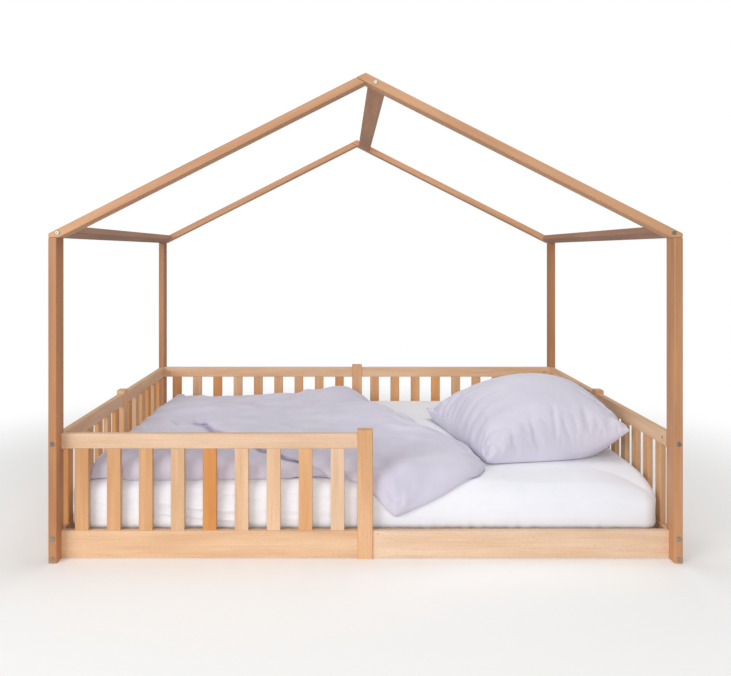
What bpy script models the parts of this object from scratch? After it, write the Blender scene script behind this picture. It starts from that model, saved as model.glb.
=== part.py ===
"""House-shaped floor bed for a toddler: a bolted beech frame, its slatted base and its bedding.

Frame of reference: metres, +Z up, origin on the floor under the middle of the bed. +X runs
along the length, from the fenced end of the front to the open end; -Y is the open front.

How it goes together
    * Two gable frames, front and back, each of two corner posts and two rafters. The right
      rafter runs through to the tip of the gable and the left one butts against its underside.
    * Three purlins join the gables, each lying in the slope of the rafters that it meets. The
      ridge purlin is a plain board. The eave purlins have the section of a rafter's foot: an
      upright outer face and a level underside, in line with the tops of the posts.
    * Fences run between the posts, each in two halves either side of a thicker centre post.
      A half is a top rail and a lower board joined by upright slats. The right half of the
      front has its lower board only: that is the way in.
    * Bolts pass along Y through the posts and rafters into the side fences and the purlins.
    * Ledges on the front and back boards, and a centre beam, carry a roll of base slats.
    * Mattress, duvet and pillow lie loose on top and lift straight off.
"""
import math

import bmesh
import bpy
from mathutils import Matrix, Vector

for leftover in list(bpy.data.objects):        # start from an empty scene
    bpy.data.objects.remove(leftover, do_unlink=True)

# ------------------------------------------------------------------ driving dimensions (metres)
GAP = 0.0003                # air left between pieces that touch

BED_LENGTH = 2.080          # over the outer faces of the posts, along X
BED_DEPTH = 1.548           # over the outer faces of the posts, along Y
POST_HIGH = 1.067           # floor to the seat of the rafter feet
EAVE_LIP = 0.014            # upright outer face of a rafter foot, above its post
ROOF_PITCH = math.radians(26.9)

STOCK_THIN = 0.028          # posts along X; rafters and purlins square to the slope
STOCK_DEEP = 0.064          # posts and rafters along Y
PURLIN_WIDE = 0.062         # eave purlins, along the slope
RIDGE_PURLIN_WIDE = 0.059   # the same at the ridge
RIDGE_PURLIN_OFFSET = 0.040 # its middle, right of the gable's tip
STOCK_EDGE = 0.0025         # eased edges of posts, rafters and purlins

CENTRE_POST_WIDE = 0.051    # along the fence
CENTRE_POST_DEEP = 0.034    # across the fence, so it stands proud of the rails on both faces
CENTRE_POST_HIGH = 0.428
RAIL_THIN = 0.022           # top rails and lower boards, across the fence
RAIL_HIGH = 0.050
RAIL_TOP = 0.415
BOARD_HIGH = 0.092          # lower boards, which stand on the floor
RAIL_EDGE = 0.002

SLAT_WIDE = 0.0455
SLAT_THIN = 0.018
SLAT_EDGE = 0.0015
TENON_LONG = 0.010          # slat ends let into rail and board
TENON_SHOULDER = 0.0035     # all round the tenon
MORTISE_PLAY = 0.0003       # all round the tenon, and beyond its end
LONG_SLATS = 9              # per half of the front and back fences
SIDE_SLATS = 6              # per half of the left and right fences
LONG_END_GAP = 0.0437       # first slat to the end of its rail, front and back
SIDE_END_GAP = 0.0490       # the same, left and right

BOLT_THICK = 0.006
BOLT_REACH = 0.040          # into the piece behind the post or rafter
BOLT_HEAD_ROUND = 0.0155
BOLT_HEAD_HIGH = 0.0022
BOLT_RIM = 0.0010           # cone at the edge of the head
BOLT_SOCKET_FLATS = 0.004
BOLT_SOCKET_DEEP = 0.0019
BOLT_HOLE_PLAY = 0.0005     # round the shank
BOLT_HOLE_SPARE = 0.004     # beyond its tip
BOARD_BOLT_INSET = 0.0125   # from the top and bottom edges of a lower board
FOOT_BOLT_INSET = 0.030     # eave bolts, from the outer face of the post
FOOT_BOLT_DROP = 0.0130     # eave bolts, straight down from the upper face of the rafter
RIDGE_BOLT_OFFSET = 0.032   # ridge bolt, right of the gable's tip

LEDGE_WIDE = 0.035          # support ledges, inwards from the board
LEDGE_HIGH = 0.028
LEDGE_SETBACK = 0.020       # ledge ends, from the ends of the board
BASE_SEAT = 0.060           # underside of the base slats
BEAM_THIN = 0.028
BASE_SLATS = 14
BASE_SLAT_WIDE = 0.070
BASE_SLAT_THIN = 0.018
BASE_SLAT_PLAY = 0.003      # slat ends, from the centre posts of front and back
BASE_ROLL_PLAY = 0.018      # outer slats, from the centre posts of left and right
WEBBING_WIDE = 0.025
WEBBING_THIN = 0.0016
WEBBING_SINK = 0.0004       # glued into the underside of the slats
WEBBING_OFFSET = 0.450      # from the middle of the bed

MATTRESS_THICK = 0.171
MATTRESS_PLAY = 0.004       # from the centre posts, all round
MATTRESS_EDGE = 0.040       # rounding of its edges

PILLOW_DEEP = 0.775         # along Y
PILLOW_FRONT = 0.152        # its front edge, from the front of the mattress
PILLOW_FRONT_REACH = 0.550  # front-left corner, from the right end of the mattress
PILLOW_BACK_REACH = 0.665   # back-left corner, from the right end of the mattress
PILLOW_SKEW = 0.085         # right side further back than the left
PILLOW_CLEAR = 0.006        # right side, from the end of the mattress
PILLOW_THICK = 0.215        # where it is fullest
PILLOW_SEAM = 0.025         # height of the seam above the mattress on the left
PILLOW_LEAN = 0.105         # extra height of the seam where it leans on the right fence

DUVET_THICK_FRONT = 0.045
DUVET_THICK_BACK = 0.080
DUVET_SIDE_CLEAR = 0.035    # left edge, from the left end of the mattress
DUVET_END_CLEAR = 0.012     # back edge, from the back of the mattress
DUVET_FRONT_OVER = 0.004    # front edge, over the front of the mattress
DUVET_PILLOW_CLEAR = 0.014  # from the pillow's front-left corner
DUVET_BACK_RUN = 0.400      # how far the right edge runs left on its way to the back
DUVET_CORNER_WIDE = 0.275   # front edge, from the centre post to where it turns back
DUVET_CORNER_CLEAR = 0.005  # hanging corner, from the centre post
DUVET_CORNER_LOW = 0.120    # tip of the hanging corner, below the mattress top
DUVET_CORNER_TIP = 0.090    # the tip, right of the centre post
DUVET_CORNER_THICK = 0.022

# ------------------------------------------------------------------ places that follow from them
HALF_LENGTH = BED_LENGTH / 2
HALF_DEPTH = BED_DEPTH / 2
INNER_X = HALF_LENGTH - STOCK_THIN             # inner faces of the posts
INNER_Y = HALF_DEPTH - STOCK_DEEP
SIDE_FENCE_X = INNER_X + RAIL_THIN / 2         # middle planes of the fences,
LONG_FENCE_Y = INNER_Y + RAIL_THIN / 2         # inner faces flush with the posts'
LONG_RUN = INNER_X - CENTRE_POST_WIDE / 2 - 2 * GAP
SIDE_RUN = INNER_Y - CENTRE_POST_WIDE / 2 - 2 * GAP
CLEAR_X = SIDE_FENCE_X - CENTRE_POST_DEEP / 2  # inner faces of the centre posts
CLEAR_Y = LONG_FENCE_Y - CENTRE_POST_DEEP / 2

EAVE_Z = POST_HIGH + EAVE_LIP
RISE = math.tan(ROOF_PITCH)
RIDGE_Z = EAVE_Z + HALF_LENGTH * RISE
BAND_Z = STOCK_THIN / math.cos(ROOF_PITCH)     # a rafter's thickness, measured upright

MATTRESS_Z = BASE_SEAT + BASE_SLAT_THIN + 2 * GAP
MATTRESS_TOP = MATTRESS_Z + MATTRESS_THICK
MATTRESS_X = CLEAR_X - MATTRESS_PLAY           # half its length
MATTRESS_Y = CLEAR_Y - MATTRESS_PLAY           # half its width


# ------------------------------------------------------------------ tools
def linear(code):
    """sRGB hex code to linear RGBA."""
    parts = [int(code[i:i + 2], 16) / 255 for i in (0, 2, 4)]
    return [c / 12.92 if c < 0.04045 else ((c + 0.055) / 1.055) ** 2.4 for c in parts] + [1.0]


def principled(name, code, roughness, metallic=0.0):
    """A plain material: one Principled BSDF."""
    material = bpy.data.materials.new(name)
    material.use_nodes = True
    shader = material.node_tree.nodes["Principled BSDF"]
    shader.inputs["Base Color"].default_value = linear(code)
    shader.inputs["Roughness"].default_value = roughness
    shader.inputs["Metallic"].default_value = metallic
    return material


def place(name, mesh, material, location=(0, 0, 0), turn=0.0, parent=None):
    """A named object for a mesh, turned about Z. The location is relative to its parent."""
    if not mesh.materials:
        mesh.materials.append(material)
    thing = bpy.data.objects.new(name, mesh)
    thing.location = location
    thing.rotation_euler = (0, 0, turn)
    thing.parent = parent
    bpy.context.scene.collection.objects.link(thing)
    return thing


def finish(bm, name):
    """Turn a bmesh into a mesh with its faces pointing out."""
    bmesh.ops.recalc_face_normals(bm, faces=bm.faces)
    mesh = bpy.data.meshes.new(name)
    bm.to_mesh(mesh)
    bm.free()
    return mesh


def add_board(bm, low, high, edge):
    """Add a board between two opposite corners, with its four long edges eased."""
    low, high = Vector(low), Vector(high)
    size = high - low
    verts = bmesh.ops.create_cube(bm, size=1.0)["verts"]
    bmesh.ops.transform(bm, verts=verts,
                        matrix=Matrix.Translation((low + high) / 2) @ Matrix.Diagonal(size.to_4d()))
    along = max(range(3), key=lambda axis: size[axis])
    edges = {e for v in verts for e in v.link_edges
             if abs((e.verts[0].co - e.verts[1].co)[along]) > size[along] / 2}
    if edge:
        bmesh.ops.bevel(bm, geom=list(edges), offset=edge, segments=1, affect="EDGES")


def board(name, low, high, edge, material, parent=None):
    """One straight piece between two corners; its origin is the middle of its underside."""
    low, high = Vector(low), Vector(high)
    origin = Vector(((low.x + high.x) / 2, (low.y + high.y) / 2, low.z))
    bm = bmesh.new()
    add_board(bm, low - origin, high - origin, edge)
    return place(name, finish(bm, name), material, origin, parent=parent)


def prism(name, outline, depth, edge, material, y):
    """A piece cut to an outline in the XZ plane, `depth` thick along Y about the plane y."""
    bm = bmesh.new()
    face = bm.faces.new([bm.verts.new((x, -depth / 2, z)) for x, z in outline])
    grown = bmesh.ops.extrude_face_region(bm, geom=[face])["geom"]
    bmesh.ops.translate(bm, vec=(0, depth, 0),
                        verts=[g for g in grown if isinstance(g, bmesh.types.BMVert)])
    bmesh.ops.recalc_face_normals(bm, faces=bm.faces)
    bmesh.ops.bevel(bm, geom=list(bm.edges), offset=edge, segments=1, affect="EDGES")
    return place(name, finish(bm, name), material, (0, y, 0))


def guide(name, bm, location=(0, 0, 0), turn=0.0):
    """A shape that only cuts or joins: it is hidden and isn't a piece of the bed."""
    shape = place(name, finish(bm, name), BEECH, location, turn)
    shape.hide_render = True
    shape.display_type = "WIRE"
    return shape


def combine(piece, other, operation):
    """Join a shape to a piece or cut it away, with the exact solver."""
    step = piece.modifiers.new(operation.lower(), "BOOLEAN")
    step.operation = operation
    step.solver = "EXACT"
    step.object = other


def slat_centres(run, count, end_gap):
    """Places of a fence's slats along a rail: equal steps between two fixed end gaps."""
    first = end_gap + SLAT_WIDE / 2
    step = (run - 2 * first) / (count - 1)
    return [first + step * i for i in range(count)]


# ------------------------------------------------------------------ materials
BEECH = principled("beech_oiled", "D3A172", 0.45)
BEECH_PALE = principled("beech_oiled_pale", "E0B587", 0.45)
BEECH_DEEP = principled("beech_oiled_deep", "C08A5E", 0.48)
BASE_PINE = principled("base_slats_wood", "DCC39B", 0.60)
ZINC = principled("dark_zinc_steel", "6C6862", 0.35, 1.0)
TICKING = principled("mattress_sheet_cotton", "F2F2F4", 0.85)
COTTON = principled("lilac_grey_cotton", "C4C1D0", 0.85)

# ------------------------------------------------------------------ corner posts
posts = {}
for end, row in ((-1, "front"), (1, "back")):
    for side, hand in ((-1, "left"), (1, "right")):
        x = side * (HALF_LENGTH - STOCK_THIN / 2)
        y = end * (HALF_DEPTH - STOCK_DEEP / 2)
        posts[row, hand] = board(f"{row}_{hand}_post",
                                 (x - STOCK_THIN / 2, y - STOCK_DEEP / 2, 0),
                                 (x + STOCK_THIN / 2, y + STOCK_DEEP / 2, POST_HIGH),
                                 STOCK_EDGE, BEECH_DEEP)


# ------------------------------------------------------------------ rafters and purlins
def roof_line(x, side, drop=0.0):
    """Height of a slope's upper face at x, on the left (-1) or right (+1), less a drop."""
    return RIDGE_Z - side * x * RISE - drop


# Along the right slope's underside, the left rafter's upper face ends at this x, on the
# line where the two slopes cross: RIDGE_Z - x RISE - BAND_Z = RIDGE_Z + x RISE.
CROSS_X = -BAND_Z / (2 * RISE)
SEAT_Z = POST_HIGH + GAP
FOOT_TIP_X = HALF_LENGTH - (SEAT_Z - (EAVE_Z - BAND_Z)) / RISE    # underside meets the seat

RIGHT_RAFTER = [(HALF_LENGTH, SEAT_Z), (HALF_LENGTH, EAVE_Z), (0, RIDGE_Z),
                (CROSS_X, roof_line(CROSS_X, -1)), (FOOT_TIP_X, SEAT_Z)]
LEFT_RAFTER = [(-HALF_LENGTH, SEAT_Z), (-FOOT_TIP_X, SEAT_Z),
               (0, roof_line(0, 1, BAND_Z) - GAP),
               (CROSS_X, roof_line(CROSS_X, -1) - GAP), (-HALF_LENGTH, EAVE_Z - GAP)]

rafters = {}
for end, row in ((-1, "front"), (1, "back")):
    y = end * (HALF_DEPTH - STOCK_DEEP / 2)
    rafters[row, "left"] = prism(f"{row}_left_rafter", LEFT_RAFTER, STOCK_DEEP,
                                 STOCK_EDGE, BEECH, y)
    rafters[row, "right"] = prism(f"{row}_right_rafter", RIGHT_RAFTER, STOCK_DEEP,
                                  STOCK_EDGE, BEECH, y)


def ridge_purlin():
    """A board under the tip of the gable, in the thickness of the right slope."""
    bm = bmesh.new()
    half = (RIDGE_PURLIN_WIDE / 2, INNER_Y - GAP, STOCK_THIN / 2)
    add_board(bm, [-h for h in half], half, STOCK_EDGE)
    x = RIDGE_PURLIN_OFFSET
    piece = place("ridge_purlin", finish(bm, "ridge_purlin"), BEECH,
                  (x, 0, roof_line(x, 1, BAND_Z / 2)))
    piece.rotation_euler.y = ROOF_PITCH
    return piece


def eave_purlin(name, side):
    """A purlin with the section of a rafter's foot, cut square to the slope on the inside."""
    upper_x = HALF_LENGTH - PURLIN_WIDE * math.cos(ROOF_PITCH)
    lower_x = upper_x - STOCK_THIN * math.sin(ROOF_PITCH)
    section = [(HALF_LENGTH, SEAT_Z), (HALF_LENGTH, EAVE_Z), (upper_x, roof_line(upper_x, 1)),
               (lower_x, roof_line(lower_x, 1, BAND_Z)), (FOOT_TIP_X, SEAT_Z)]
    return prism(name, [(side * x, z) for x, z in section], 2 * (INNER_Y - GAP), STOCK_EDGE,
                 BEECH, 0)


purlins = {"left_eave": eave_purlin("left_eave_purlin", -1),
           "right_eave": eave_purlin("right_eave_purlin", 1),
           "ridge": ridge_purlin()}


# ------------------------------------------------------------------ fences
def centre_post(name, x, y, along_x):
    """The post in the middle of a fence, thicker than its rails."""
    half = (CENTRE_POST_WIDE / 2, CENTRE_POST_DEEP / 2)
    half_x, half_y = half if along_x else reversed(half)
    return board(name, (x - half_x, y - half_y, 0), (x + half_x, y + half_y, CENTRE_POST_HIGH),
                 STOCK_EDGE, BEECH)


centre_post("front_centre_post", 0, -LONG_FENCE_Y, True)
centre_post("back_centre_post", 0, LONG_FENCE_Y, True)
centre_post("left_centre_post", -SIDE_FENCE_X, 0, False)
centre_post("right_centre_post", SIDE_FENCE_X, 0, False)


def rail_box(run):
    """Corners of a top rail that starts at x = 0 and is centred on y = 0."""
    return (0, -RAIL_THIN / 2, RAIL_TOP - RAIL_HIGH), (run, RAIL_THIN / 2, RAIL_TOP)


def board_box(run):
    """Corners of a lower board, likewise."""
    return (0, -RAIL_THIN / 2, 0), (run, RAIL_THIN / 2, BOARD_HIGH)


def fence_half(name, run, count, end_gap, location, turn=0.0):
    """One glued half of a fence: rail and board, joined by slats let into both."""
    rails, slats = bmesh.new(), bmesh.new()
    add_board(rails, *rail_box(run), RAIL_EDGE)
    add_board(rails, *board_box(run), RAIL_EDGE)
    for x in slat_centres(run, count, end_gap):
        add_board(slats, (x - SLAT_WIDE / 2, -SLAT_THIN / 2, BOARD_HIGH - TENON_LONG),
                  (x + SLAT_WIDE / 2, SLAT_THIN / 2, RAIL_TOP - RAIL_HIGH + TENON_LONG),
                  SLAT_EDGE)
    panel = place(name, finish(rails, name), BEECH_PALE, location, turn)
    combine(panel, guide(f"{name}_slats", slats, location, turn), "UNION")
    return panel


QUARTER = math.pi / 2
long_start = -INNER_X + GAP                    # left halves start at the left posts
long_restart = CENTRE_POST_WIDE / 2 + GAP      # right halves start at the centre posts
side_start = -INNER_Y + GAP
fence_half("back_left_fence", LONG_RUN, LONG_SLATS, LONG_END_GAP, (long_start, LONG_FENCE_Y, 0))
fence_half("back_right_fence", LONG_RUN, LONG_SLATS, LONG_END_GAP,
           (long_restart, LONG_FENCE_Y, 0))
side_fences = {}
for side, hand in ((-1, "left"), (1, "right")):
    for row, y in (("front", side_start), ("back", long_restart)):
        side_fences[row, hand] = fence_half(f"{hand}_{row}_fence", SIDE_RUN, SIDE_SLATS,
                                            SIDE_END_GAP, (side * SIDE_FENCE_X, y, 0), QUARTER)

# The front fence is kept in its separate pieces.
front_y = -LONG_FENCE_Y
low, high = (Vector(corner) + Vector((long_start, front_y, 0)) for corner in rail_box(LONG_RUN))
top_rail = board("front_top_rail", low, high, RAIL_EDGE, BEECH_PALE)
low, high = (Vector(corner) + Vector((long_start, front_y, 0)) for corner in board_box(LONG_RUN))
left_board = board("front_left_board", low, high, RAIL_EDGE, BEECH_PALE)
low, high = (Vector(corner) + Vector((long_restart, front_y, 0)) for corner in board_box(LONG_RUN))
board("front_right_board", low, high, RAIL_EDGE, BEECH_PALE)


def loose_slat(bottom, top):
    """A slat with a stub tenon at each end, its origin in the middle of its lower shoulder."""
    bm = bmesh.new()
    add_board(bm, (-SLAT_WIDE / 2, -SLAT_THIN / 2, 0), (SLAT_WIDE / 2, SLAT_THIN / 2, top - bottom),
              0)
    bmesh.ops.recalc_face_normals(bm, faces=bm.faces)
    long_edges = [e for e in bm.edges if e.calc_length() > SLAT_WIDE + SLAT_THIN]
    for face in [f for f in bm.faces if abs(f.normal.z) > 0.9]:
        outward = face.normal.z
        bmesh.ops.inset_region(bm, faces=[face], thickness=TENON_SHOULDER,
                               use_even_offset=True)
        grown = bmesh.ops.extrude_discrete_faces(bm, faces=[face])["faces"]
        bmesh.ops.translate(bm, vec=(0, 0, outward * TENON_LONG), verts=grown[0].verts)
    bmesh.ops.bevel(bm, geom=long_edges, offset=SLAT_EDGE, segments=1, affect="EDGES")
    return finish(bm, "front_slat")


def mortises(name, centres, low_z, high_z):
    """Pockets for the tenons of the front slats, between two heights."""
    half_x = SLAT_WIDE / 2 - TENON_SHOULDER + MORTISE_PLAY
    half_y = SLAT_THIN / 2 - TENON_SHOULDER + MORTISE_PLAY
    bm = bmesh.new()
    for x in centres:
        add_board(bm, (x - half_x, front_y - half_y, low_z), (x + half_x, front_y + half_y, high_z),
                  0)
    return guide(name, bm)


slat_low = BOARD_HIGH + GAP
slat_high = RAIL_TOP - RAIL_HIGH - GAP
pocket = TENON_LONG + MORTISE_PLAY
front_centres = [long_start + x for x in slat_centres(LONG_RUN, LONG_SLATS, LONG_END_GAP)]
combine(top_rail, mortises("rail_mortises", front_centres, slat_high - GAP, slat_high + pocket),
        "DIFFERENCE")
combine(left_board, mortises("board_mortises", front_centres, slat_low - pocket, slat_low + GAP),
        "DIFFERENCE")
slat_mesh = loose_slat(slat_low, slat_high)
for number, x in enumerate(front_centres, 1):
    place(f"front_slat_{number}", slat_mesh, BEECH_PALE, (x, front_y, slat_low))

# ------------------------------------------------------------------ bolts and their holes
SEGMENTS = 12
BOLT_LONG = STOCK_DEEP + BOLT_REACH


def ring(bm, y, radius, flats=False):
    """A ring of points round the Y axis. With `flats` it is a hexagon of that inner radius."""
    points = []
    for k in range(SEGMENTS):
        angle = math.tau * k / SEGMENTS
        reach = radius
        if flats:
            off_flat = (angle + math.pi / 6) % (math.pi / 3) - math.pi / 6
            reach = radius / math.cos(off_flat)
        points.append(bm.verts.new((reach * math.cos(angle), y, reach * math.sin(angle))))
    return points


def lathe(bm, rings):
    """Skin a row of rings and close both ends."""
    for one, two in zip(rings, rings[1:]):
        for k in range(SEGMENTS):
            nxt = (k + 1) % SEGMENTS
            bm.faces.new((one[k], one[nxt], two[nxt], two[k]))
    bm.faces.new(rings[0])
    bm.faces.new(rings[-1])


def bolt_mesh():
    """A furniture bolt with a flat round head and a hexagon socket; it points along +Y."""
    bm = bmesh.new()
    head, shank = BOLT_HEAD_ROUND / 2, BOLT_THICK / 2
    face = -GAP - BOLT_HEAD_HIGH
    lathe(bm, [ring(bm, face + BOLT_SOCKET_DEEP, BOLT_SOCKET_FLATS / 2, True),
               ring(bm, face, BOLT_SOCKET_FLATS / 2, True),
               ring(bm, face, head - BOLT_RIM),
               ring(bm, face + BOLT_RIM, head),
               ring(bm, -GAP, head),
               ring(bm, -GAP, shank),
               ring(bm, BOLT_LONG, shank)])
    mesh = finish(bm, "furniture_bolt")
    mesh.shade_smooth()
    mesh.set_sharp_from_angle(angle=math.radians(35))
    return mesh


post_x = HALF_LENGTH - STOCK_THIN / 2
FOOT_BOLT_X = HALF_LENGTH - FOOT_BOLT_INSET
bolt_places = {}
for side, hand in ((-1, "left"), (1, "right")):
    bolt_places[f"{hand}_rail"] = (side * post_x, RAIL_TOP - RAIL_HIGH / 2)
    bolt_places[f"{hand}_board_upper"] = (side * post_x, BOARD_HIGH - BOARD_BOLT_INSET)
    bolt_places[f"{hand}_board_lower"] = (side * post_x, BOARD_BOLT_INSET)
    bolt_places[f"{hand}_eave"] = (side * FOOT_BOLT_X,
                                   roof_line(side * FOOT_BOLT_X, side, FOOT_BOLT_DROP))
bolt_places["ridge"] = (RIDGE_BOLT_OFFSET, roof_line(RIDGE_BOLT_OFFSET, 1, BAND_Z / 2))

holes = bmesh.new()
shared_bolt = bolt_mesh()
hole_radius = BOLT_THICK / 2 + BOLT_HOLE_PLAY
for end, row in ((-1, "front"), (1, "back")):
    for where, (x, z) in bolt_places.items():
        turn = 0.0 if end < 0 else math.pi
        place(f"{row}_{where}_bolt", shared_bolt, ZINC, (x, end * HALF_DEPTH, z), turn)
        start = len(holes.verts)
        lathe(holes, [ring(holes, -0.01, hole_radius),
                      ring(holes, BOLT_LONG + BOLT_HOLE_SPARE, hole_radius)])
        holes.verts.ensure_lookup_table()
        bmesh.ops.transform(holes, verts=holes.verts[start:],
                            matrix=Matrix.Translation((x, end * HALF_DEPTH, z))
                            @ Matrix.Rotation(turn, 4, "Z"))
bolt_holes = guide("bolt_holes", holes)
for drilled in (*posts.values(), *rafters.values(), *purlins.values(), *side_fences.values()):
    combine(drilled, bolt_holes, "DIFFERENCE")

# ------------------------------------------------------------------ slatted base
ledge_y = INNER_Y - GAP
for end, row in ((-1, "front"), (1, "back")):
    for hand, start in (("left", long_start), ("right", long_restart)):
        near, far = sorted((end * ledge_y, end * (ledge_y - LEDGE_WIDE)))
        board(f"{row}_{hand}_ledge", (start + LEDGE_SETBACK, near, BASE_SEAT - LEDGE_HIGH),
              (start + LONG_RUN - LEDGE_SETBACK, far, BASE_SEAT), RAIL_EDGE, BEECH)

board("centre_beam", (GAP - CLEAR_X, -BEAM_THIN / 2, 0), (CLEAR_X - GAP, BEAM_THIN / 2, BASE_SEAT),
      RAIL_EDGE, BEECH)


def slat_roll(name):
    """The base slats, laid across the bed and joined by two webbing bands under them."""
    reach_x, reach_y = CLEAR_X - BASE_ROLL_PLAY, CLEAR_Y - BASE_SLAT_PLAY
    step = (2 * reach_x - BASE_SLAT_WIDE) / (BASE_SLATS - 1)
    slats, bands = bmesh.new(), bmesh.new()
    for i in range(BASE_SLATS):
        x = -reach_x + step * i
        add_board(slats, (x, -reach_y, 0), (x + BASE_SLAT_WIDE, reach_y, BASE_SLAT_THIN), SLAT_EDGE)
    for y in (-WEBBING_OFFSET, WEBBING_OFFSET):
        add_board(bands, (BASE_SLAT_WIDE / 2 - reach_x, y - WEBBING_WIDE / 2,
                          WEBBING_SINK - WEBBING_THIN),
                  (reach_x - BASE_SLAT_WIDE / 2, y + WEBBING_WIDE / 2, WEBBING_SINK), 0)
    seat = (0, 0, BASE_SEAT + GAP)
    roll = place(name, finish(slats, name), BASE_PINE, seat)
    combine(roll, guide("webbing_bands", bands, seat), "UNION")
    return roll


slat_roll("base_slat_roll")


# ------------------------------------------------------------------ bedding, loose
def mattress():
    """The mattress in its sheet: a block with rounded edges, its origin under its middle."""
    bm = bmesh.new()
    add_board(bm, (-MATTRESS_X, -MATTRESS_Y, 0), (MATTRESS_X, MATTRESS_Y, MATTRESS_THICK), 0)
    bmesh.ops.bevel(bm, geom=list(bm.edges), offset=MATTRESS_EDGE, segments=3, profile=0.5,
                    affect="EDGES")
    return place("mattress", finish(bm, "mattress"), TICKING, (0, 0, MATTRESS_Z))


bed_mattress = mattress()
ON_TOP = MATTRESS_THICK + GAP                  # top of the mattress, from its origin


def pillow_mesh(steps=10):
    """A filled pillow over a four-cornered seam, flat below where it lies on the mattress.

    With u and v from -1 to 1 across the seam's four corners, the fill swells as
    (1 - u^2)^0.45 (1 - v^2)^0.45, mostly upwards. The seam climbs towards +u, where the
    pillow leans on the fence.
    """
    right = MATTRESS_X - PILLOW_CLEAR
    front = PILLOW_FRONT - MATTRESS_Y
    corners = {(-1, -1): (MATTRESS_X - PILLOW_FRONT_REACH, front),
               (-1, 1): (MATTRESS_X - PILLOW_BACK_REACH, front + PILLOW_DEEP),
               (1, -1): (right, front + PILLOW_SKEW),
               (1, 1): (right, front + PILLOW_SKEW + PILLOW_DEEP)}
    bm = bmesh.new()
    layers = []
    for upper in (False, True):
        grid = {}
        for i in range(steps + 1):
            for j in range(steps + 1):
                u, v = (math.sin(math.pi / 2 * (2 * k / steps - 1)) for k in (i, j))
                edge = i in (0, steps) or j in (0, steps)
                if upper and edge:
                    grid[i, j] = layers[0][i, j]
                    continue
                x, y = (sum((1 + a * u) * (1 + b * v) / 4 * corner[axis]
                            for (a, b), corner in corners.items()) for axis in (0, 1))
                swell = 0 if edge else ((1 - u * u) * (1 - v * v)) ** 0.45
                seam = PILLOW_SEAM + PILLOW_LEAN * ((1 + u) / 2) ** 2
                z = (seam + (PILLOW_THICK - PILLOW_SEAM) * swell if upper
                     else max(0.0, seam - (PILLOW_SEAM + PILLOW_LEAN) * 1.2 * swell))
                grid[i, j] = bm.verts.new((x, y, z))
        for i in range(steps):
            for j in range(steps):
                bm.faces.new((grid[i, j], grid[i + 1, j], grid[i + 1, j + 1], grid[i, j + 1]))
        layers.append(grid)
    bmesh.ops.triangulate(bm, faces=bm.faces)
    mesh = finish(bm, "pillow")
    mesh.shade_smooth()
    return mesh


def duvet_mesh(steps=7):
    """The duvet as it lies: an outline on the mattress, thicker towards the back.

    Its right edge starts beside the pillow's front corner and bends away from the pillow,
    by DUVET_BACK_RUN t^1.6 at the fraction t of the way back. Where it passes the centre
    post a corner hangs over the front of the mattress.
    """
    left = DUVET_SIDE_CLEAR - MATTRESS_X
    back = MATTRESS_Y - DUVET_END_CLEAR
    front = -MATTRESS_Y - DUVET_FRONT_OVER
    turn_x = CENTRE_POST_WIDE / 2 + DUVET_CORNER_CLEAR + DUVET_CORNER_WIDE
    tip_x = MATTRESS_X - PILLOW_FRONT_REACH - DUVET_PILLOW_CLEAR
    tip_y = PILLOW_FRONT - MATTRESS_Y - DUVET_PILLOW_CLEAR
    outline = [(left, back), (left, front), (turn_x, front)]
    for k in range(steps + 1):
        t = k / steps
        outline.append((tip_x - DUVET_BACK_RUN * t ** 1.6, tip_y + (back - tip_y) * t))
    bm = bmesh.new()
    lower = [bm.verts.new((x, y, 0)) for x, y in outline]
    upper = []
    for x, y in outline:
        share = (y - front) / (back - front)
        thick = DUVET_THICK_FRONT + (DUVET_THICK_BACK - DUVET_THICK_FRONT) * share
        upper.append(bm.verts.new((x, y, thick)))
    bm.faces.new(lower)
    bm.faces.new(upper)
    for k in range(len(outline)):
        nxt = (k + 1) % len(outline)
        bm.faces.new((lower[k], lower[nxt], upper[nxt], upper[k]))
    bmesh.ops.triangulate(bm, faces=bm.faces)
    return finish(bm, "duvet")


def hanging_corner():
    """The duvet's corner that hangs over the front: a wedge that bites into its front edge."""
    start = CENTRE_POST_WIDE / 2 + DUVET_CORNER_CLEAR
    tip = CENTRE_POST_WIDE / 2 + DUVET_CORNER_TIP
    top = DUVET_THICK_FRONT / 2
    outline = [(start, top), (start, -0.01), (tip, -DUVET_CORNER_LOW),
               (start + DUVET_CORNER_WIDE, -0.01), (start + DUVET_CORNER_WIDE, top)]
    bm = bmesh.new()
    near = [bm.verts.new((x, -MATTRESS_Y - GAP - DUVET_CORNER_THICK, z)) for x, z in outline]
    mid = [bm.verts.new((x, -MATTRESS_Y - GAP, z)) for x, z in outline]
    bm.faces.new(near)
    bm.faces.new(mid)
    for k in range(len(outline)):
        nxt = (k + 1) % len(outline)
        bm.faces.new((near[k], near[nxt], mid[nxt], mid[k]))
    return bm


place("pillow", pillow_mesh(), COTTON, (0, 0, ON_TOP), parent=bed_mattress)
duvet = place("duvet", duvet_mesh(), COTTON, (0, 0, ON_TOP), parent=bed_mattress)
corner = guide("duvet_corner", hanging_corner())
corner.parent = bed_mattress
corner.location = (0, 0, ON_TOP)
combine(duvet, corner, "UNION")
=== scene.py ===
# %% [markdown]
# # A house-shaped floor bed for a toddler
#
# The bed is a frame of solid oiled beech: four posts, two gables, three purlins and a low
# fence. Inside it lie a mattress in a fitted sheet, a duvet and a pillow. The wooden pieces
# come from the CAD model with their exact sizes, so this lesson gives them their grain. The
# soft things are made here, because cloth is a matter of folds and not of millimetres.

# %% Load the frame
import math

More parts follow.
